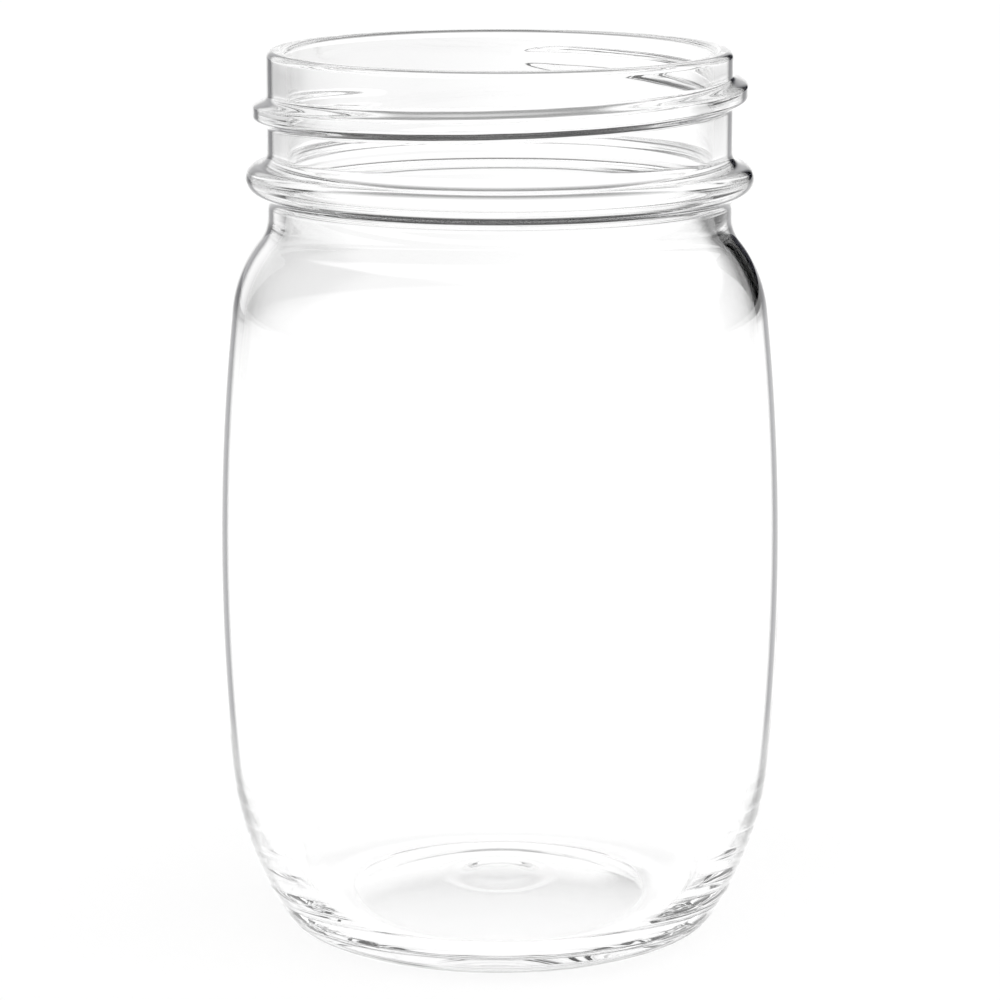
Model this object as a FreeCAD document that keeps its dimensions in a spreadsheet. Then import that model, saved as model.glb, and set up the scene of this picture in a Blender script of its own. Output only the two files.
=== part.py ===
import FreeCAD, Part

# One-piece glass drinking jar: wide screw neck, bead, round shoulder, heavy base.
#
# The jar stands on the ring at z = 0, with its axis on +Z.  All sizes are in millimetres
# and live in the spreadsheet "sizes", where those that follow from others are formulas.
# The wall is one sketch turned about Z, the screw thread is a ridge with fading ends, and
# both are fused into one solid.
import math
import os

import Sketcher

SIZES = [
    # whole jar
    ("height", 128.3, "bearing ring to rim"),
    ("belly_radius", 40.4, "largest outside radius"),
    ("belly_height", 55.0, "height of the largest radius"),
    # foot, from the axis outwards
    ("pushup", 3.0, "rise of the underside at the axis"),
    ("foot_inside_radius", 1.5, "round inside the bearing ring"),
    ("bearing_inset", 17.0, "bearing ring's outer edge, in from the belly"),
    ("bearing_width", 2.0, "flat of the bearing ring"),
    ("foot_radius", 14.0, "round outside the bearing ring"),
    ("corner_radius", 3.9, "round where the foot turns up"),
    ("heel_radius", 46.5, "round of the heel"),
    ("heel_top", 24.4, "height where the heel meets the side"),
    # side, shoulder and neck
    ("side_low_bow", 1.39, "how far the side comes in from the belly to the heel"),
    ("side_high_bow", 3.75, "how far the side would come in from the belly to the neck"),
    ("shoulder_radius", 19.0, "round of the shoulder"),
    ("neck_fillet", 5.5, "hollow between shoulder and neck"),
    ("neck_inset", 7.3, "outside of the neck, in from the belly"),
    ("neck_below_bead", 5.6, "from the bead's middle down to where the neck turns upright"),
    # bead under the thread
    ("bead_drop", 18.1, "middle of the bead, down from the rim"),
    ("bead_out", 3.05, "how far the bead stands out of the neck"),
    ("bead_round", 2.0, "round of its crest"),
    ("bead_fillet", 1.9, "hollows above and below it"),
    # rim
    ("lip_outside", 1.0, "round of the rim, outside"),
    ("lip_inside", 1.1, "round of the rim, inside"),
    # glass thickness and the inside
    ("neck_wall", 2.8, "glass at the neck"),
    ("side_wall", 2.0, "glass at the belly"),
    ("base_wall", 4.3, "glass at the middle of the base"),
    ("inside_fillet", 11.0, "round between neck and shoulder, inside"),
    ("inside_shoulder", 17.5, "round of the shoulder, inside"),
    ("inside_neck_below", 3.7, "from the bead's middle down to where the bore turns out"),
    ("inside_heel_radius", 38.0, "round of the heel, inside"),
    ("inside_heel_top", 26.0, "height where the inside heel starts"),
    ("inside_corner", 8.0, "round at the edge of the floor"),
    ("floor_crown", 90.0, "bow of the floor"),
    # screw thread, right-handed, angles from +X
    ("thread_start", 122.0, "where the ridge comes out of the neck"),
    ("thread_end", 446.0, "where the ridge ends"),
    ("thread_pitch", 6.1, "rise in one turn"),
    ("thread_drop", 8.65, "middle of the ridge at 180 degrees, down from the rim"),
    ("thread_depth", 2.05, "how far the ridge stands out"),
    ("thread_width", 4.4, "ridge at the neck, from flank to flank"),
    ("thread_crest", 1.5, "ridge at its crest, from flank to flank"),
    ("thread_fade_in", 75.0, "length of the fading start, degrees"),
    ("thread_fade_out", 16.0, "length of the fading end, degrees"),
    # what follows from the sizes above
    ("bearing_outside", "=belly_radius - bearing_inset", "bearing ring, outer edge"),
    ("bearing_inside", "=bearing_outside - bearing_width", "bearing ring, inner edge"),
    ("neck_radius", "=belly_radius - neck_inset", "outside of the neck"),
    ("bead_radius", "=neck_radius + bead_out", "outside of the bead"),
    ("bead_height", "=height - bead_drop", "middle of the bead"),
    ("neck_base", "=bead_height - neck_below_bead", "height where the neck turns upright"),
    ("inside_neck_base", "=bead_height - inside_neck_below", "height where the bore turns out"),
    ("thread_height", "=height - thread_drop", "middle of the ridge at 180 degrees"),
    ("side_low", "=belly_height - heel_top", "side below the belly"),
    ("side_high", "=neck_base - belly_height", "side and shoulder above the belly"),
    ("side_low_radius", "=(side_low ^ 2 + side_low_bow ^ 2) / (2 * side_low_bow)", "its bow"),
    ("side_high_radius", "=(side_high ^ 2 + side_high_bow ^ 2) / (2 * side_high_bow)", "its bow"),
]

ROOT = 0.7          # how deep the ridge is rooted in the neck
TIP = 0.12          # how far the ridge's ends lie under the neck's surface
STEP = 12.0         # largest angle between two sections of the ridge
FLANK = 0.8         # share of the ridge's depth that its straight flanks take up
SLIM = 0.55         # width of the ridge's ends, as a share of its full width


def make_sheet(doc):
    """Fill the spreadsheet and return it with the values by name."""
    sheet = doc.addObject("Spreadsheet::Sheet", "sizes")
    for row, (alias, value, note) in enumerate(SIZES, start=1):
        sheet.set(f"A{row}", alias)
        sheet.set(f"B{row}", str(value))
        sheet.set(f"C{row}", note)
        sheet.setAlias(f"B{row}", alias)
    doc.recompute()
    return sheet, {alias: float(sheet.get(alias)) for alias, _, _ in SIZES}


def meet(centre_a, reach_a, centre_b, reach_b):
    """Point at reach_a from centre_a and reach_b from centre_b, right of the way from a to b."""
    dx = centre_b[0] - centre_a[0]
    dz = centre_b[1] - centre_a[1]
    gap = math.hypot(dx, dz)
    along = (gap * gap + reach_a * reach_a - reach_b * reach_b) / (2 * gap)
    aside = math.sqrt(reach_a * reach_a - along * along)
    x = centre_a[0] + (dx * along + dz * aside) / gap
    z = centre_a[1] + (dz * along - dx * aside) / gap
    return (x, z)


def beyond(start, through, reach):
    """Point at that reach from start, on the line through another point."""
    dx = through[0] - start[0]
    dz = through[1] - start[1]
    scale = reach / math.hypot(dx, dz)
    return (start[0] + dx * scale, start[1] + dz * scale)


class Profile:
    """A closed run of lines and arcs in a sketch, each held to the last."""

    def __init__(self, sketch):
        self.sketch = sketch
        self.last = None

    def add(self, curve, start_pos, end_pos, smooth):
        index = self.sketch.addGeometry(curve, False)
        if self.last is not None:
            kind = "Tangent" if smooth else "Coincident"
            self.hold(kind, self.last[0], self.last[2], index, start_pos)
        self.last = (index, start_pos, end_pos)
        return index

    def line(self, start, end, smooth=True):
        segment = Part.LineSegment(FreeCAD.Vector(*start, 0), FreeCAD.Vector(*end, 0))
        return self.add(segment, 1, 2, smooth)

    def arc(self, centre, start, end, turn, radius, smooth=True):
        """turn is 1 for an arc drawn counter-clockwise from start to end, else -1."""
        circle = Part.Circle(
            FreeCAD.Vector(*centre, 0),
            FreeCAD.Vector(0, 0, 1),
            math.hypot(start[0] - centre[0], start[1] - centre[1]),
        )
        first, last = (start, end) if turn > 0 else (end, start)
        a = math.atan2(first[1] - centre[1], first[0] - centre[0])
        b = math.atan2(last[1] - centre[1], last[0] - centre[0])
        if b < a:
            b += 2 * math.pi
        ends = (1, 2) if turn > 0 else (2, 1)
        index = self.add(Part.ArcOfCircle(circle, a, b), ends[0], ends[1], smooth)
        if radius:
            self.size("Radius", radius, index)
        return index

    def hold(self, kind, *where):
        return self.sketch.addConstraint(Sketcher.Constraint(kind, *where))

    def size(self, kind, formula, *where):
        """Add a measured constraint and bind it to the sheet."""
        number = self.hold(kind, *where, self.read(kind, *where))
        terms = formula.split()
        bound = " ".join(t if t in "+-" else "sizes." + t for t in terms)
        self.sketch.setExpression(f"Constraints[{number}]", bound)

    def read(self, kind, *where):
        """The size that the drawn geometry has now."""
        if kind == "Radius":
            return self.sketch.Geometry[where[0]].Radius
        point = self.sketch.getPoint(where[0], where[1])
        return point.x if kind == "DistanceX" else point.y

    def at_x(self, index, pos, formula):
        self.size("DistanceX", formula, index, pos)

    def at_z(self, index, pos, formula):
        self.size("DistanceY", formula, index, pos)


def outside_points(s):
    """Centres and joints of the outside, from the axis under the base up to the neck."""
    p = {}
    p["foot_in_c"] = (s["bearing_inside"], s["foot_inside_radius"])
    # the dome's centre is on the axis, its top at the push-up, and it touches the foot's round
    r = s["foot_inside_radius"]
    x, lift = s["bearing_inside"], s["pushup"] - r
    dome = (x * x + lift * lift - r * r) / (2 * (r + lift))
    p["dome_c"] = (0.0, s["pushup"] - dome)
    p["dome_top"] = (0.0, s["pushup"])
    p["dome_end"] = beyond(p["dome_c"], p["foot_in_c"], dome)
    p["bearing_a"] = (s["bearing_inside"], 0.0)
    p["bearing_b"] = (s["bearing_outside"], 0.0)
    p["foot_c"] = (s["bearing_outside"], s["foot_radius"])
    p["belly"] = (s["belly_radius"], s["belly_height"])
    p["low_c"] = (s["belly_radius"] - s["side_low_radius"], s["belly_height"])
    drop = s["belly_height"] - s["heel_top"]
    bow = math.sqrt(s["side_low_radius"] ** 2 - drop ** 2)
    p["heel_start"] = (p["low_c"][0] + bow, s["heel_top"])
    p["heel_c"] = beyond(p["heel_start"], p["low_c"], s["heel_radius"])
    p["corner_c"] = meet(
        p["heel_c"], s["heel_radius"] - s["corner_radius"],
        p["foot_c"], s["foot_radius"] - s["corner_radius"],
    )
    p["corner_end"] = beyond(p["heel_c"], p["corner_c"], s["heel_radius"])
    p["corner_start"] = beyond(p["foot_c"], p["corner_c"], s["foot_radius"])
    p["high_c"] = (s["belly_radius"] - s["side_high_radius"], s["belly_height"])
    p["fillet_c"] = (s["neck_radius"] + s["neck_fillet"], s["neck_base"])
    p["shoulder_c"] = meet(
        p["high_c"], s["side_high_radius"] - s["shoulder_radius"],
        p["fillet_c"], s["shoulder_radius"] + s["neck_fillet"],
    )
    p["shoulder_start"] = beyond(p["high_c"], p["shoulder_c"], s["side_high_radius"])
    p["shoulder_end"] = beyond(p["shoulder_c"], p["fillet_c"], s["shoulder_radius"])
    p["neck_start"] = (s["neck_radius"], s["neck_base"])
    return p


def bead_points(s):
    """Centres and joints of the bead."""
    p = {}
    p["bead_c"] = (s["bead_radius"] - s["bead_round"], s["bead_height"])
    fillet_x = s["neck_radius"] + s["bead_fillet"]
    reach = s["bead_round"] + s["bead_fillet"]
    rise = math.sqrt(reach ** 2 - (fillet_x - p["bead_c"][0]) ** 2)
    for name, sign in (("low", -1), ("high", 1)):
        centre = (fillet_x, s["bead_height"] + sign * rise)
        p[f"bead_{name}_c"] = centre
        p[f"bead_{name}_neck"] = (s["neck_radius"], centre[1])
        p[f"bead_{name}_crest"] = beyond(p["bead_c"], centre, s["bead_round"])
    return p


def inside_points(s):
    """Centres and joints of the rim and the inside, from the rim down to the floor."""
    p = {}
    bore = s["neck_radius"] - s["neck_wall"]
    belly = s["belly_radius"] - s["side_wall"]
    top = s["height"]
    p["lip_out_c"] = (s["neck_radius"] - s["lip_outside"], top - s["lip_outside"])
    p["lip_out_start"] = (s["neck_radius"], top - s["lip_outside"])
    p["lip_out_end"] = (s["neck_radius"] - s["lip_outside"], top)
    p["lip_in_c"] = (bore + s["lip_inside"], top - s["lip_inside"])
    p["lip_in_start"] = (bore + s["lip_inside"], top)
    p["lip_in_end"] = (bore, top - s["lip_inside"])
    p["bore_end"] = (bore, s["inside_neck_base"])
    p["in_fillet_c"] = (bore + s["inside_fillet"], s["inside_neck_base"])
    high = s["side_high_radius"] - s["side_wall"]
    p["in_high_c"] = (belly - high, s["belly_height"])
    p["in_shoulder_c"] = meet(
        p["in_high_c"], high - s["inside_shoulder"],
        p["in_fillet_c"], s["inside_shoulder"] + s["inside_fillet"],
    )
    p["in_shoulder_end"] = beyond(p["in_high_c"], p["in_shoulder_c"], high)
    p["in_shoulder_start"] = beyond(p["in_shoulder_c"], p["in_fillet_c"], s["inside_shoulder"])
    p["in_belly"] = (belly, s["belly_height"])
    low = s["side_low_radius"] - s["side_wall"]
    p["in_low_c"] = (belly - low, s["belly_height"])
    bow = math.sqrt(low ** 2 - (s["belly_height"] - s["inside_heel_top"]) ** 2)
    p["in_heel_start"] = (p["in_low_c"][0] + bow, s["inside_heel_top"])
    p["in_heel_c"] = beyond(p["in_heel_start"], p["in_low_c"], s["inside_heel_radius"])
    floor = s["pushup"] + s["base_wall"]
    p["floor_top"] = (0.0, floor)
    p["floor_c"] = (0.0, floor - s["floor_crown"])
    p["in_corner_c"] = meet(
        p["floor_c"], s["floor_crown"] + s["inside_corner"],
        p["in_heel_c"], s["inside_heel_radius"] - s["inside_corner"],
    )
    p["in_heel_end"] = beyond(p["in_heel_c"], p["in_corner_c"], s["inside_heel_radius"])
    p["floor_edge"] = beyond(p["floor_c"], p["in_corner_c"], s["floor_crown"])
    return p


def draw_outside(profile, s):
    """Draw the outside of the wall, from the axis under the base to the top of the neck."""
    p = {**outside_points(s), **bead_points(s), **inside_points(s)}
    dome = profile.arc(p["dome_c"], p["dome_top"], p["dome_end"], -1, None)
    profile.hold("PointOnObject", dome, 3, -2)
    profile.hold("PointOnObject", dome, 2, -2)
    profile.at_z(dome, 2, "pushup")
    profile.arc(p["foot_in_c"], p["dome_end"], p["bearing_a"], 1, "foot_inside_radius")
    bearing = profile.line(p["bearing_a"], p["bearing_b"])
    profile.hold("PointOnObject", bearing, 1, -1)
    profile.hold("PointOnObject", bearing, 2, -1)
    profile.at_x(bearing, 1, "bearing_inside")
    profile.at_x(bearing, 2, "bearing_outside")
    profile.arc(p["foot_c"], p["bearing_b"], p["corner_start"], 1, "foot_radius")
    profile.arc(p["corner_c"], p["corner_start"], p["corner_end"], 1, "corner_radius")
    heel = profile.arc(p["heel_c"], p["corner_end"], p["heel_start"], 1, "heel_radius")
    profile.at_z(heel, 2, "heel_top")
    low = profile.arc(p["low_c"], p["heel_start"], p["belly"], 1, "side_low_radius")
    profile.at_x(low, 2, "belly_radius")
    profile.at_z(low, 2, "belly_height")
    profile.hold("Horizontal", low, 3, low, 2)
    profile.arc(p["high_c"], p["belly"], p["shoulder_start"], 1, "side_high_radius")
    profile.arc(p["shoulder_c"], p["shoulder_start"], p["shoulder_end"], 1, "shoulder_radius")
    profile.arc(p["fillet_c"], p["shoulder_end"], p["neck_start"], -1, "neck_fillet")
    neck = profile.line(p["neck_start"], p["bead_low_neck"])
    profile.hold("Vertical", neck)
    profile.at_x(neck, 1, "neck_radius")
    profile.at_z(neck, 1, "neck_base")
    profile.arc(p["bead_low_c"], p["bead_low_neck"], p["bead_low_crest"], -1, "bead_fillet")
    bead = profile.arc(p["bead_c"], p["bead_low_crest"], p["bead_high_crest"], 1, "bead_round")
    profile.at_x(bead, 3, "bead_radius - bead_round")
    profile.at_z(bead, 3, "bead_height")
    profile.arc(p["bead_high_c"], p["bead_high_crest"], p["bead_high_neck"], -1, "bead_fillet")
    finish = profile.line(p["bead_high_neck"], p["lip_out_start"])
    profile.hold("Vertical", finish)
    profile.at_x(finish, 2, "neck_radius")
    profile.arc(p["lip_out_c"], p["lip_out_start"], p["lip_out_end"], 1, "lip_outside")
    return dome


def draw_inside(profile, s, dome):
    """Draw the rim and the inside, from the top of the neck down to the axis, and close it."""
    p = inside_points(s)
    rim = profile.line(p["lip_out_end"], p["lip_in_start"])
    profile.hold("Horizontal", rim)
    profile.at_z(rim, 1, "height")
    profile.arc(p["lip_in_c"], p["lip_in_start"], p["lip_in_end"], 1, "lip_inside")
    bore = profile.line(p["lip_in_end"], p["bore_end"])
    profile.hold("Vertical", bore)
    profile.at_x(bore, 2, "neck_radius - neck_wall")
    profile.at_z(bore, 2, "inside_neck_base")
    profile.arc(p["in_fillet_c"], p["bore_end"], p["in_shoulder_start"], 1, "inside_fillet")
    profile.arc(
        p["in_shoulder_c"], p["in_shoulder_start"], p["in_shoulder_end"], -1, "inside_shoulder"
    )
    profile.arc(
        p["in_high_c"], p["in_shoulder_end"], p["in_belly"], -1, "side_high_radius - side_wall"
    )
    low = profile.arc(
        p["in_low_c"], p["in_belly"], p["in_heel_start"], -1, "side_low_radius - side_wall"
    )
    profile.at_x(low, 2, "belly_radius - side_wall")
    profile.at_z(low, 2, "belly_height")
    profile.hold("Horizontal", low, 3, low, 2)
    heel = profile.arc(
        p["in_heel_c"], p["in_heel_start"], p["in_heel_end"], -1, "inside_heel_radius"
    )
    profile.at_z(heel, 2, "inside_heel_top")
    profile.arc(p["in_corner_c"], p["in_heel_end"], p["floor_edge"], -1, "inside_corner")
    floor = profile.arc(p["floor_c"], p["floor_edge"], p["floor_top"], 1, "floor_crown")
    profile.hold("PointOnObject", floor, 3, -2)
    profile.hold("PointOnObject", floor, 2, -2)
    profile.at_z(floor, 2, "pushup + base_wall")
    axis = profile.line(p["floor_top"], (0.0, s["pushup"]), smooth=False)
    profile.hold("Coincident", axis, 2, dome, 2)


def make_wall(doc, s):
    """Body turned from the sketch of the wall."""
    body = doc.addObject("PartDesign::Body", "wall")
    body.Label = "wall"
    sketch = body.newObject("Sketcher::SketchObject", "wall_profile")
    plane = next(f for f in body.Origin.OriginFeatures if f.Role == "XZ_Plane")
    sketch.AttachmentSupport = [(plane, "")]
    sketch.MapMode = "FlatFace"
    profile = Profile(sketch)
    dome = draw_outside(profile, s)
    draw_inside(profile, s, dome)
    turned = body.newObject("PartDesign::Revolution", "turned_wall")
    turned.Profile = sketch
    turned.ReferenceAxis = (sketch, ["V_Axis"])
    turned.Angle = 360.0
    doc.recompute()
    return body, sketch


def fade(u):
    """0 at u = 0, rising smoothly to 1 at u = 1."""
    u = min(max(u, 0.0), 1.0)
    return math.sin(0.5 * math.pi * u)


def ridge_section(s, angle):
    """Closed wire across the thread at that angle."""
    swell = min(
        fade((angle - s["thread_start"]) / s["thread_fade_in"]),
        fade((s["thread_end"] - angle) / s["thread_fade_out"]),
    )
    middle = s["thread_height"] + (angle - 180.0) / 360.0 * s["thread_pitch"]
    crest = s["neck_radius"] - TIP + (s["thread_depth"] + TIP) * swell
    root = s["neck_radius"] - ROOT
    slim = SLIM + (1.0 - SLIM) * swell
    half_root = 0.5 * s["thread_width"] * slim
    half_crest = 0.5 * s["thread_crest"] * slim
    shoulder = root + FLANK * (crest - root)
    turn = math.radians(angle)

    def at(r, z):
        return FreeCAD.Vector(r * math.cos(turn), r * math.sin(turn), z)

    low_root = at(root, middle - half_root)
    low_crest = at(shoulder, middle - half_crest)
    high_crest = at(shoulder, middle + half_crest)
    high_root = at(root, middle + half_root)
    edges = [
        Part.LineSegment(low_root, low_crest).toShape(),
        Part.Arc(low_crest, at(crest, middle), high_crest).toShape(),
        Part.LineSegment(high_crest, high_root).toShape(),
        Part.LineSegment(high_root, low_root).toShape(),
    ]
    return Part.Wire(edges)


def make_thread(doc, s):
    """The thread's ridge, lofted through sections along its helix."""
    out = s["thread_fade_out"]
    span = s["thread_end"] - out - s["thread_start"]
    count = math.ceil(span / STEP)
    angles = [s["thread_start"] + span * k / count for k in range(count)]
    angles += [s["thread_end"] - out * part for part in (1.0, 0.75, 0.5, 0.25, 0.0)]
    sections = [ridge_section(s, angle) for angle in angles]
    ridge = doc.addObject("Part::Feature", "thread")
    ridge.Label = "thread"
    ridge.Shape = Part.makeLoft(sections, True, False)
    return ridge


def check(doc, jar):
    """Stop if anything in the document failed."""
    for item in doc.Objects:
        if {"Invalid", "Error"} & set(item.State):
            raise RuntimeError(f"{item.Name} failed: {item.State}")
    shape = jar.Shape
    if shape.isNull() or not shape.isValid() or len(shape.Solids) != 1:
        raise RuntimeError(f"{jar.Label} is not one valid solid")


def main():
    doc = FreeCAD.newDocument("drinking_jar")
    sheet, s = make_sheet(doc)
    wall, sketch = make_wall(doc, s)
    thread = make_thread(doc, s)
    jar = doc.addObject("Part::Fuse", "fused_jar")
    jar.Base = wall
    jar.Tool = thread
    jar.Label = "jar"
    jar.Placement = FreeCAD.Placement()
    doc.recompute()
    check(doc, jar)
    os.makedirs("parts", exist_ok=True)
    jar.Shape.exportStep(f"parts/{jar.Label}.step")
    volume = jar.Shape.Volume / 1000.0
    print(f"{jar.Label}: {volume:.1f} cm3, wall sketch solved: {sketch.solve() == 0}")


main()
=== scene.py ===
"""Clear glass drinking jar with a screw neck, on a white table in a studio."""
import math

import bpy
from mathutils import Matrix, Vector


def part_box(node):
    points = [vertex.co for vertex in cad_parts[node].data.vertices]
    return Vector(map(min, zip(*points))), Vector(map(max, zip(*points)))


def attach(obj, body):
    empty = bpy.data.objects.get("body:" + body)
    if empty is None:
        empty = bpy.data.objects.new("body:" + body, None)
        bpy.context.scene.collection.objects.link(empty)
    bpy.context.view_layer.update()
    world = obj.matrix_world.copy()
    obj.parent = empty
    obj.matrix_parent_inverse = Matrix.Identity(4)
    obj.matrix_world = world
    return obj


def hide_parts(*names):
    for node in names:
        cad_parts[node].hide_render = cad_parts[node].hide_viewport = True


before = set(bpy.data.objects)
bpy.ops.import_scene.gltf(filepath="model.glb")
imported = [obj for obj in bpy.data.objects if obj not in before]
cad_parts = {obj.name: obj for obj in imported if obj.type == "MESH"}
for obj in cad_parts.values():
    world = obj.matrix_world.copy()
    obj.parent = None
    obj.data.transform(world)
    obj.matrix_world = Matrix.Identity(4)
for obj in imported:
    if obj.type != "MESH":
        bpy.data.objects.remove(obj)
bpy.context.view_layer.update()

MM = 0.001

# --- sizes of the glass, in millimetres, as in the CAD source ---------------------------------
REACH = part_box("jar")[1]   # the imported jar's greatest x, y and z, in metres
HEIGHT = REACH.z / MM
BELLY_RADIUS = REACH.x / MM
BELLY_HEIGHT = 55.0

PUSHUP = 3.0
FOOT_INSIDE = 1.5
BEARING_INSIDE = 21.4
BEARING_OUTSIDE = 23.4
FOOT = 14.0
CORNER = 3.9
HEEL = 46.5
HEEL_TOP = 24.4
SIDE_LOW_BOW = 1.39
SIDE_HIGH_BOW = 3.75
SHOULDER = 19.0
NECK_FILLET = 5.5
NECK_BASE = 104.6
NECK_RADIUS = 33.1
BEAD_RADIUS = 36.15
BEAD_HEIGHT = 110.2
BEAD_ROUND = 2.0
BEAD_FILLET = 1.9
LIP_OUTSIDE = 1.0
LIP_INSIDE = 1.1

NECK_WALL = 2.8
SIDE_WALL = 2.0
BASE_WALL = 4.3
INSIDE_FILLET = 11.0
INSIDE_SHOULDER = 17.5
INSIDE_NECK_BASE = 106.5
INSIDE_HEEL = 38.0
INSIDE_HEEL_TOP = 26.0
INSIDE_CORNER = 8.0
FLOOR_CROWN = 90.0

THREAD_START = 122.0
THREAD_END = 446.0
THREAD_PITCH = 6.1
THREAD_HEIGHT = 119.65
THREAD_DEPTH = 2.05
THREAD_WIDTH = 4.4
THREAD_CREST = 1.5
THREAD_FADE_IN = 75.0
THREAD_FADE_OUT = 16.0
THREAD_SLIM = 0.55         # width of the ridge's ends, as a share of its full width

# radii of the side below and above the belly, from the height and the bow of each
LOW_SPAN = BELLY_HEIGHT - HEEL_TOP
HIGH_SPAN = NECK_BASE - BELLY_HEIGHT
SIDE_LOW = (LOW_SPAN ** 2 + SIDE_LOW_BOW ** 2) / (2 * SIDE_LOW_BOW)
SIDE_HIGH = (HIGH_SPAN ** 2 + SIDE_HIGH_BOW ** 2) / (2 * SIDE_HIGH_BOW)

# --- how finely the mesh follows the wall -----------------------------------------------------
COLUMNS = 360
TURN_STEP = math.radians(2.5)
ARC_STEP = 1.6
LINE_STEP = 1.6
FINISH_STEP = 0.25
DOT_STEP = 0.2
ON_AXIS = 1e-6
FINE = 2                   # arcs of the foot, heel and floor have this many times the points

# --- the glass --------------------------------------------------------------------------------
GLASS_IOR = 1.52
# painted shade: the glass's colour is darkened where a surface is seen almost edge-on, in place
# of the dark lines that refraction of the surroundings gives
PAINTED_EDGE_SHADE_BAND = (0.735, 0.80, 0.87, 0.93)    # 0 is face-on, 1 edge-on; shade is painted dark between the middle two
PAINTED_EDGE_SHADE_INSIDE = 0.12                       # share of the painted dark edge that the inner surface has
PAINTED_EDGE_SHADE_LOW = 0.5                           # share of it that is left round the heel
PAINTED_EDGE_SHADE_RISE = (0.010, 0.035)               # heights in metres between which all of it comes back
# colour of that painted shade along the glass's edges
PAINTED_EDGE_SHADE_COLOUR = (0.004, 0.004, 0.006, 1.0)
WAVE_SCALE = 60.0                        # slight waves, per metre
WAVE_HEIGHT = 0.00006                    # their height in metres
WHITE = (1.0, 1.0, 1.0, 1.0)

# --- studio round the jar: azimuths and heights in degrees, azimuth 0 behind, right positive --
CLOTH_LEFT = (-100.0, -80.0)
CLOTH_RIGHT = (62.0, 28.0)               # where its right side ends, low down and high up
CLOTH_RIGHT_HEIGHT = (12.0, 24.0)        # the heights between which that end moves
CLOTH_SOFT = 20.0                        # how wide the soft edge of the right side is
CLOTH_TOP = (58.0, 68.0)
PANEL = (-50.0, -24.0, 11.0, 18.0)       # soft left edge, then soft right edge
PANEL_TOP = (14.0, 24.0)

# --- painted shade on the table, seen only in and through the glass: distances in metres, azimuths in degrees, and how dark ---
WIDE_PAINTED_SHADE = ((0.5, 1.6), (12.0, 24.0, 70.0, 100.0), 0.50)
FAR_PAINTED_SHADE = ((0.65, 1.0), (-40.0, -25.0, -4.0, 8.0), 0.22)
LEFT_PAINTED_SHADE = ((0.2, 0.9), (-100.0, -40.0, -25.0, -9.0), 0.15)
BACK_PAINTED_SHADE = ((0.06, 0.09), (30.0, 55.0), 0.90)
# painted shade that follows the view: darker where the table is looked at steeply from above
STEEP_PAINTED_SHADE = (0.35, 0.60)                     # 0 is looked at from straight above, 1 along the table

# --- table and camera, in metres and degrees --------------------------------------------------
TABLE_HALF = 6.0
TABLE_DROP = 0.0002
TABLE_GLOW = 0.88                        # its own light towards the camera
TABLE_CLOTH = (0.2, 0.2, 0.2, 1.0)       # what it adds of the studio's light, less in the shadow
LENS = 152.46
CAMERA = (0.0, -0.600, 0.18395)
CAMERA_DOWN = 11.377
CLIP = (0.05, 50.0)
BOUNCES = 200                            # light runs far round inside the heel before it leaves

# --- marks of the mould under the base --------------------------------------------------------
DOTS = 60
DOT_HEIGHT = 0.14
RING = 6.3
RING_WIDTH = 1.1
RING_HEIGHT = 0.2


# --- the wall's profile as points (radius, height); a name that ends in _c is a centre --------
def meet(a, reach_a, b, reach_b):
    """Point at reach_a from a and reach_b from b, right of the way from a to b."""
    dx, dz = b[0] - a[0], b[1] - a[1]
    gap = math.hypot(dx, dz)
    along = (gap * gap + reach_a * reach_a - reach_b * reach_b) / (2 * gap)
    aside = math.sqrt(reach_a * reach_a - along * along)
    return (a[0] + (dx * along + dz * aside) / gap, a[1] + (dz * along - dx * aside) / gap)


def beyond(start, through, reach):
    """Point at that reach from start, on the line through another point."""
    scale = reach / math.hypot(through[0] - start[0], through[1] - start[1])
    return tuple(s + (t - s) * scale for s, t in zip(start, through))


def arc(path, centre, end, turn, fine=1):
    """Go on from the path's last point round the centre to end; turn is 1 counter-clockwise."""
    start = path[-1]
    radius = math.dist(centre, start)
    first = math.atan2(start[1] - centre[1], start[0] - centre[0])
    last = math.atan2(end[1] - centre[1], end[0] - centre[0])
    sweep = (turn * (last - first)) % (2 * math.pi)
    count = fine * max(2, math.ceil(sweep / TURN_STEP), math.ceil(sweep * radius / ARC_STEP))
    for k in range(1, count + 1):
        t = first + turn * sweep * k / count
        path.append((centre[0] + radius * math.cos(t), centre[1] + radius * math.sin(t)))


def line(path, end, step=LINE_STEP):
    """Go on straight from the path's last point to end."""
    start = path[-1]
    count = max(1, math.ceil(math.dist(start, end) / step))
    for k in range(1, count + 1):
        u = k / count
        path.append(tuple(s + (e - s) * u for s, e in zip(start, end)))


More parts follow.
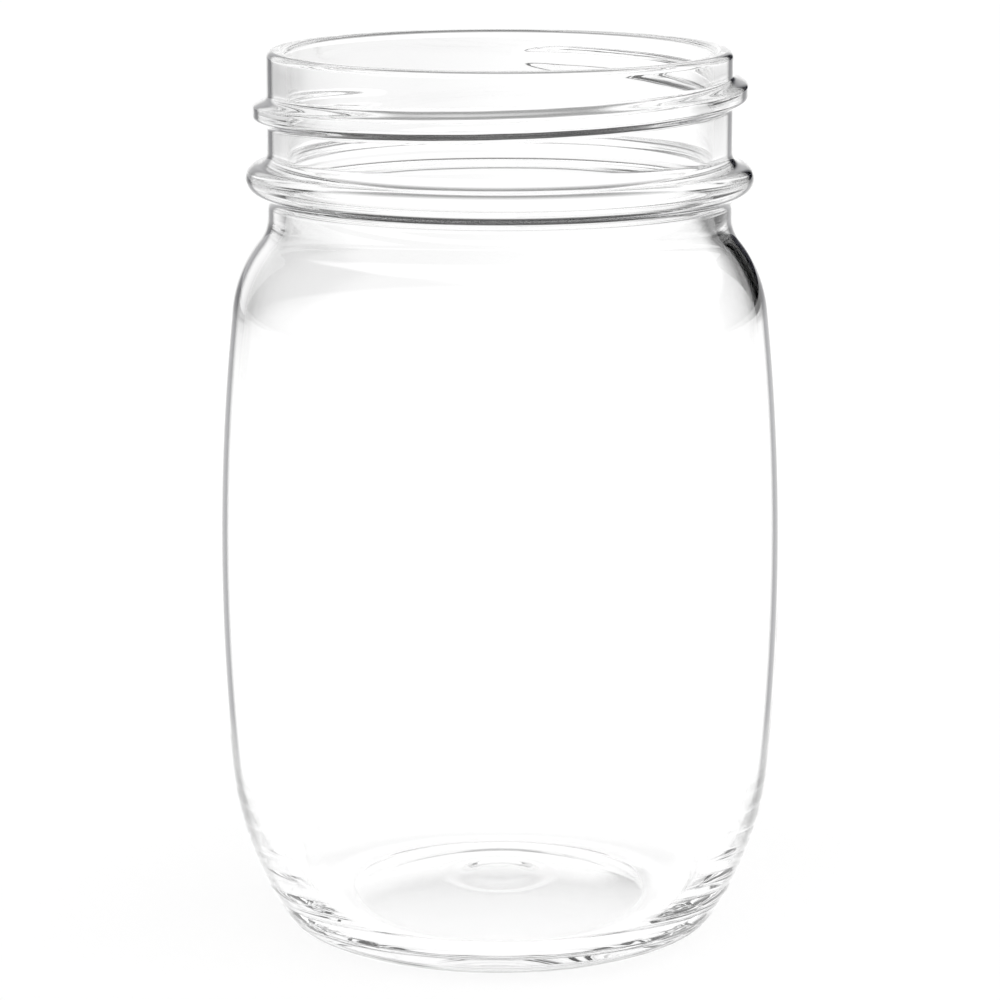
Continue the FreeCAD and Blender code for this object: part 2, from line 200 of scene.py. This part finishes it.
def outside():
    """From the axis under the base, round the foot and up to the rim."""
    lift = PUSHUP - FOOT_INSIDE
    dome = (BEARING_INSIDE ** 2 + lift ** 2 - FOOT_INSIDE ** 2) / (2 * (FOOT_INSIDE + lift))
    dome_c = (0.0, PUSHUP - dome)
    foot_in_c = (BEARING_INSIDE, FOOT_INSIDE)
    foot_c = (BEARING_OUTSIDE, FOOT)
    low_c = (BELLY_RADIUS - SIDE_LOW, BELLY_HEIGHT)
    high_c = (BELLY_RADIUS - SIDE_HIGH, BELLY_HEIGHT)
    bow = math.sqrt(SIDE_LOW ** 2 - LOW_SPAN ** 2)
    heel_end = (low_c[0] + bow, HEEL_TOP)
    heel_c = beyond(heel_end, low_c, HEEL)
    corner_c = meet(heel_c, HEEL - CORNER, foot_c, FOOT - CORNER)
    fillet_c = (NECK_RADIUS + NECK_FILLET, NECK_BASE)
    shoulder_c = meet(high_c, SIDE_HIGH - SHOULDER, fillet_c, SHOULDER + NECK_FILLET)
    path = [(0.0, PUSHUP)]
    arc(path, dome_c, beyond(dome_c, foot_in_c, dome), -1)
    arc(path, foot_in_c, (BEARING_INSIDE, 0.0), 1)
    line(path, (BEARING_OUTSIDE, 0.0), DOT_STEP)
    arc(path, foot_c, beyond(foot_c, corner_c, FOOT), 1, FINE)
    arc(path, corner_c, beyond(heel_c, corner_c, HEEL), 1, FINE)
    arc(path, heel_c, heel_end, 1, FINE)
    arc(path, low_c, (BELLY_RADIUS, BELLY_HEIGHT), 1)
    arc(path, high_c, beyond(high_c, shoulder_c, SIDE_HIGH), 1)
    arc(path, shoulder_c, beyond(shoulder_c, fillet_c, SHOULDER), 1)
    arc(path, fillet_c, (NECK_RADIUS, NECK_BASE), -1)
    bead_c = (BEAD_RADIUS - BEAD_ROUND, BEAD_HEIGHT)
    fillet_r = NECK_RADIUS + BEAD_FILLET
    rise = math.sqrt((BEAD_ROUND + BEAD_FILLET) ** 2 - (fillet_r - bead_c[0]) ** 2)
    low = (fillet_r, BEAD_HEIGHT - rise)
    high = (fillet_r, BEAD_HEIGHT + rise)
    line(path, (NECK_RADIUS, low[1]))
    arc(path, low, beyond(bead_c, low, BEAD_ROUND), -1)
    arc(path, bead_c, beyond(bead_c, high, BEAD_ROUND), 1)
    arc(path, high, (NECK_RADIUS, high[1]), -1)
    lip_c = (NECK_RADIUS - LIP_OUTSIDE, HEIGHT - LIP_OUTSIDE)
    line(path, (NECK_RADIUS, lip_c[1]), FINISH_STEP)
    arc(path, lip_c, (lip_c[0], HEIGHT), 1)
    return path


def inside():
    """From the rim, down the bore and the wall to the axis on the floor."""
    bore = NECK_RADIUS - NECK_WALL
    belly = BELLY_RADIUS - SIDE_WALL
    high, low = SIDE_HIGH - SIDE_WALL, SIDE_LOW - SIDE_WALL
    high_c, low_c = (belly - high, BELLY_HEIGHT), (belly - low, BELLY_HEIGHT)
    fillet_c = (bore + INSIDE_FILLET, INSIDE_NECK_BASE)
    shoulder_c = meet(high_c, high - INSIDE_SHOULDER, fillet_c, INSIDE_SHOULDER + INSIDE_FILLET)
    bow = math.sqrt(low ** 2 - (BELLY_HEIGHT - INSIDE_HEEL_TOP) ** 2)
    heel_start = (low_c[0] + bow, INSIDE_HEEL_TOP)
    heel_c = beyond(heel_start, low_c, INSIDE_HEEL)
    floor = PUSHUP + BASE_WALL
    floor_c = (0.0, floor - FLOOR_CROWN)
    corner_c = meet(floor_c, FLOOR_CROWN + INSIDE_CORNER, heel_c, INSIDE_HEEL - INSIDE_CORNER)
    lip_c = (bore + LIP_INSIDE, HEIGHT - LIP_INSIDE)
    path = [(lip_c[0], HEIGHT)]
    arc(path, lip_c, (bore, lip_c[1]), 1)
    line(path, (bore, INSIDE_NECK_BASE))
    arc(path, fillet_c, beyond(shoulder_c, fillet_c, INSIDE_SHOULDER), 1)
    arc(path, shoulder_c, beyond(high_c, shoulder_c, high), -1)
    arc(path, high_c, (belly, BELLY_HEIGHT), -1)
    arc(path, low_c, heel_start, -1)
    arc(path, heel_c, beyond(heel_c, corner_c, INSIDE_HEEL), -1, FINE)
    arc(path, corner_c, beyond(floor_c, corner_c, FLOOR_CROWN), -1, FINE)
    arc(path, floor_c, (0.0, floor), 1)
    return path


# --- what differs round the jar ---------------------------------------------------------------
def smooth(u):
    """0 below 0, 1 above 1, and an S between."""
    u = min(max(u, 0.0), 1.0)
    return u * u * (3.0 - 2.0 * u)


def thread_rise(angle, z):
    """How far the screw thread stands out of the neck there."""
    rise = 0.0
    for turn in (0.0, 360.0):
        a = angle + turn
        if not THREAD_START < a < THREAD_END:
            continue
        swell = min(
            math.sin(0.5 * math.pi * min((a - THREAD_START) / THREAD_FADE_IN, 1.0)),
            math.sin(0.5 * math.pi * min((THREAD_END - a) / THREAD_FADE_OUT, 1.0)),
        )
        middle = THREAD_HEIGHT + (a - 180.0) / 360.0 * THREAD_PITCH
        slim = THREAD_SLIM + (1.0 - THREAD_SLIM) * swell
        half_root = 0.5 * THREAD_WIDTH * slim
        half_crest = 0.5 * THREAD_CREST * slim
        flank = (half_root - abs(z - middle)) / (half_root - half_crest)
        rise = max(rise, THREAD_DEPTH * swell * smooth(flank))
    return rise


def base_mark(angle, radius, z):
    """Height of the underside there, with the bearing ring's dots and the ring in the middle."""
    if z == 0.0:
        across = (radius - BEARING_INSIDE) / (BEARING_OUTSIDE - BEARING_INSIDE)
        middle = math.sin(math.pi * across)
        dot = middle * (0.5 + 0.5 * math.cos(math.radians(angle * DOTS)))
        return DOT_HEIGHT * (1.0 - dot) * middle ** 0.5
    return z - RING_HEIGHT * smooth(1.0 - abs(radius - RING) / RING_WIDTH)


def make_jar():
    """One closed mesh: rings of vertices up the outside and down the inside."""
    outer, inner = outside(), inside()
    rows = outer + inner
    finish = (BEAD_HEIGHT + BEAD_ROUND, HEIGHT - LIP_OUTSIDE)
    verts, rings = [], []
    for number, (radius, z) in enumerate(rows):
        if radius < ON_AXIS:
            rings.append([len(verts)])
            verts.append((0.0, 0.0, z * MM))
            continue
        on_thread = number < len(outer) and finish[0] < z < finish[1]
        under = number < len(outer) and z < PUSHUP and radius <= BEARING_OUTSIDE
        rings.append(range(len(verts), len(verts) + COLUMNS))
        for column in range(COLUMNS):
            angle = 360.0 * column / COLUMNS
            r = radius + (thread_rise(angle, z) if on_thread else 0.0)
            t = math.radians(angle)
            height = base_mark(angle, radius, z) if under else z
            verts.append((r * math.cos(t) * MM, r * math.sin(t) * MM, height * MM))
    faces = []
    for ring, after in zip(rings, rings[1:]):
        for k in range(COLUMNS):
            n = (k + 1) % COLUMNS
            if len(ring) == 1:
                faces.append((ring[0], after[n], after[k]))
            elif len(after) == 1:
                faces.append((ring[k], ring[n], after[0]))
            else:
                faces.append((ring[k], ring[n], after[n], after[k]))
    mesh = bpy.data.meshes.new("jar_glass")
    mesh.from_pydata(verts, [], faces)
    mesh.shade_smooth()
    outer_count = rings[len(outer) - 1][-1] + 1
    skin = mesh.attributes.new("outside", "FLOAT", "POINT")
    skin.data.foreach_set("value", [1.0] * outer_count + [0.0] * (len(verts) - outer_count))
    jar = bpy.data.objects.new("jar_glass", mesh)
    bpy.context.scene.collection.objects.link(jar)
    return jar


class Nodes:
    """Short ways to add nodes to one tree and link them."""

    def __init__(self, tree):
        self.tree = tree

    def add(self, kind, **settings):
        node = self.tree.nodes.new("ShaderNode" + kind)
        for name, value in settings.items():
            setattr(node, name, value)
        return node

    def put(self, value, socket):
        if isinstance(value, bpy.types.NodeSocket):
            self.tree.links.new(value, socket)
        else:
            socket.default_value = value

    def math(self, operation, *values):
        node = self.add("Math", operation=operation)
        for value, socket in zip(values, node.inputs):
            self.put(value, socket)
        return node.outputs[0]

    def ramp(self, value, low, high, start=0.0, end=1.0):
        """From start at low to end at high, with an S between."""
        node = self.add("MapRange", interpolation_type="SMOOTHSTEP")
        for number, item in enumerate((value, low, high, start, end)):
            self.put(item, node.inputs[number])
        return node.outputs[0]

    def bump(self, value, low, top_low, top_high, high):
        """1 from top_low to top_high, and 0 outside low to high."""
        rise = self.ramp(value, low, top_low)
        fall = self.ramp(value, top_high, high, 1.0, 0.0)
        return self.math("MULTIPLY", rise, fall)


def glass():
    """Colourless container glass with painted shade: its colour goes dark where a surface is seen
    almost edge-on.
    """
    material = bpy.data.materials.new("clear_glass")
    material.use_nodes = True
    nodes = Nodes(material.node_tree)
    shader = material.node_tree.nodes["Principled BSDF"]
    shader.inputs["Transmission Weight"].default_value = 1.0
    shader.inputs["Roughness"].default_value = 0.0
    shader.inputs["IOR"].default_value = GLASS_IOR
    # painted shade: the colour is mixed towards near black where the surface is seen almost
    # edge-on, less on the inner surface and round the heel
    facing = nodes.add("LayerWeight").outputs["Facing"]
    edge = nodes.bump(facing, *PAINTED_EDGE_SHADE_BAND)
    side = nodes.add("Attribute", attribute_name="outside").outputs["Fac"]
    strength = nodes.math("MULTIPLY", edge, nodes.ramp(side, 0.0, 1.0, PAINTED_EDGE_SHADE_INSIDE, 1.0))
    parts = nodes.add("SeparateXYZ")
    place = nodes.add("TexCoord").outputs["Object"]
    nodes.put(place, parts.inputs[0])
    painted_shade_above_heel = nodes.ramp(parts.outputs[2], *PAINTED_EDGE_SHADE_RISE, PAINTED_EDGE_SHADE_LOW, 1.0)
    strength = nodes.math("MULTIPLY", strength, painted_shade_above_heel)
    painted_shade_tint = nodes.add("Mix", data_type="RGBA")
    nodes.put(strength, painted_shade_tint.inputs["Factor"])
    nodes.put(WHITE, painted_shade_tint.inputs["A"])
    nodes.put(PAINTED_EDGE_SHADE_COLOUR, painted_shade_tint.inputs["B"])
    nodes.put(painted_shade_tint.outputs["Result"], shader.inputs["Base Color"])
    waves = nodes.add("TexNoise")
    nodes.put(place, waves.inputs["Vector"])
    nodes.put(WAVE_SCALE, waves.inputs["Scale"])
    nodes.put(1.0, waves.inputs["Detail"])
    wavy = nodes.add("Bump")
    nodes.put(waves.outputs["Fac"], wavy.inputs["Height"])
    nodes.put(WAVE_HEIGHT, wavy.inputs["Distance"])
    nodes.put(wavy.outputs["Normal"], shader.inputs["Normal"])
    return material


# --- stage: light, table, camera --------------------------------------------------------------
def direction(nodes, vector):
    """Azimuth of vector in degrees, 0 behind the jar and positive to the right, and its parts."""
    parts = nodes.add("SeparateXYZ")
    nodes.put(vector, parts.inputs[0])
    x, y, z = parts.outputs
    return nodes.math("DEGREES", nodes.math("ARCTAN2", x, y)), x, y, z


def make_world():
    """A white studio with dark cloth behind the jar and a lit panel in front of the cloth.

    The camera sees plain white. What shows in and through the glass is the cloth and the panel.
    """
    world = bpy.data.worlds.new("studio")
    bpy.context.scene.world = world
    world.use_nodes = True
    nodes = Nodes(world.node_tree)
    azimuth, _, _, z = direction(nodes, nodes.add("TexCoord").outputs["Generated"])
    height = nodes.math("DEGREES", nodes.math("ARCSINE", z))
    right = nodes.ramp(height, *CLOTH_RIGHT_HEIGHT, *CLOTH_RIGHT)
    right_end = nodes.math("ADD", right, CLOTH_SOFT)
    back = nodes.math(
        "MULTIPLY",
        nodes.ramp(azimuth, *CLOTH_LEFT),
        nodes.ramp(azimuth, right, right_end, 1.0, 0.0),
    )
    low = nodes.ramp(height, *CLOTH_TOP, 1.0, 0.0)
    panel = nodes.math(
        "MULTIPLY",
        nodes.bump(azimuth, *PANEL),
        nodes.ramp(height, *PANEL_TOP, 1.0, 0.0),
    )
    cloth = nodes.math("MULTIPLY", back, low)
    cloth = nodes.math("MULTIPLY", cloth, nodes.math("SUBTRACT", 1.0, panel))
    camera_ray = nodes.add("LightPath").outputs["Is Camera Ray"]
    cloth = nodes.math("MULTIPLY", cloth, nodes.math("SUBTRACT", 1.0, camera_ray))
    background = world.node_tree.nodes["Background"]
    nodes.put(nodes.math("SUBTRACT", 1.0, cloth), background.inputs["Strength"])
    nodes.put(WHITE, background.inputs["Color"])


def make_floor():
    """White table.

    The camera sees it plain white, with the jar's soft shadow. In and through the glass it has
    painted shade: it is greyer far out, to the left, and behind the jar where it is looked at
    from high above.
    """
    material = bpy.data.materials.new("white_table")
    material.use_nodes = True
    tree = material.node_tree
    tree.nodes.clear()
    nodes = Nodes(tree)
    azimuth, x, y, _ = direction(nodes, nodes.add("TexCoord").outputs["Object"])
    squares = [nodes.math("MULTIPLY", side, side) for side in (x, y)]
    reach = nodes.math("SQRT", nodes.math("ADD", *squares))
    wide = nodes.math("ABSOLUTE", azimuth)
    # painted shade on the table's light, for rays other than the camera's: darker patches far
    # out, to the left, and behind the jar
    table_painted_shades = []
    for around, (span, sector, share) in (
        (wide, WIDE_PAINTED_SHADE), (azimuth, FAR_PAINTED_SHADE), (azimuth, LEFT_PAINTED_SHADE)
    ):
        table_painted_shades.append((nodes.ramp(reach, *span), nodes.bump(around, *sector), share))
    span, sector, share = BACK_PAINTED_SHADE
    behind = nodes.ramp(wide, *sector, 1.0, 0.0)
    behind = nodes.math("MULTIPLY", nodes.ramp(reach, *span), behind)
    # painted shade that follows the view: darker where the table is looked at from high above
    steep = nodes.ramp(nodes.add("LayerWeight").outputs["Facing"], *STEEP_PAINTED_SHADE, 1.0, 0.0)
    table_painted_shades.append((steep, behind, share))
    white = 1.0
    for first, second, share in table_painted_shades:
        table_painted_shade = nodes.math("MULTIPLY", nodes.math("MULTIPLY", first, second), share)
        white = nodes.math("MULTIPLY", white, nodes.math("SUBTRACT", 1.0, table_painted_shade))
    # the camera sees only the plain glow, without the painted shade
    camera_ray = nodes.add("LightPath").outputs["Is Camera Ray"]
    white = nodes.math("MULTIPLY", white, nodes.math("SUBTRACT", 1.0, camera_ray))
    white = nodes.math("ADD", white, nodes.math("MULTIPLY", camera_ray, TABLE_GLOW))
    glow = nodes.add("Emission")
    nodes.put(white, glow.inputs["Strength"])
    cloth = nodes.add("BsdfDiffuse")
    nodes.put(TABLE_CLOTH, cloth.inputs["Color"])
    both = nodes.add("AddShader")
    nodes.put(glow.outputs[0], both.inputs[0])
    nodes.put(cloth.outputs[0], both.inputs[1])
    output = nodes.add("OutputMaterial")
    nodes.put(both.outputs[0], output.inputs["Surface"])
    signs = ((-1, -1), (1, -1), (1, 1), (-1, 1))
    corners = [(right * TABLE_HALF, back * TABLE_HALF, 0.0) for right, back in signs]
    mesh = bpy.data.meshes.new("table")
    mesh.from_pydata(corners, [], [(0, 1, 2, 3)])
    mesh.materials.append(material)
    floor = bpy.data.objects.new("table", mesh)
    floor.location.z = -TABLE_DROP
    bpy.context.scene.collection.objects.link(floor)


def make_camera():
    """In front of the jar, above it and looking a little down."""
    data = bpy.data.cameras.new("camera")
    camera = bpy.data.objects.new("camera", data)
    bpy.context.scene.collection.objects.link(camera)
    bpy.context.scene.camera = camera
    data.lens = LENS
    data.clip_start, data.clip_end = CLIP
    camera.location = CAMERA
    camera.rotation_euler = (math.radians(90.0 - CAMERA_DOWN), 0.0, 0.0)


jar = make_jar()
jar.data.materials.append(glass())
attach(jar, "root")
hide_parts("jar")
make_world()
make_floor()
make_camera()
bpy.context.scene.view_settings.view_transform = "Standard"
cycles = bpy.context.scene.cycles
cycles.max_bounces = cycles.glossy_bounces = cycles.transmission_bounces = BOUNCES
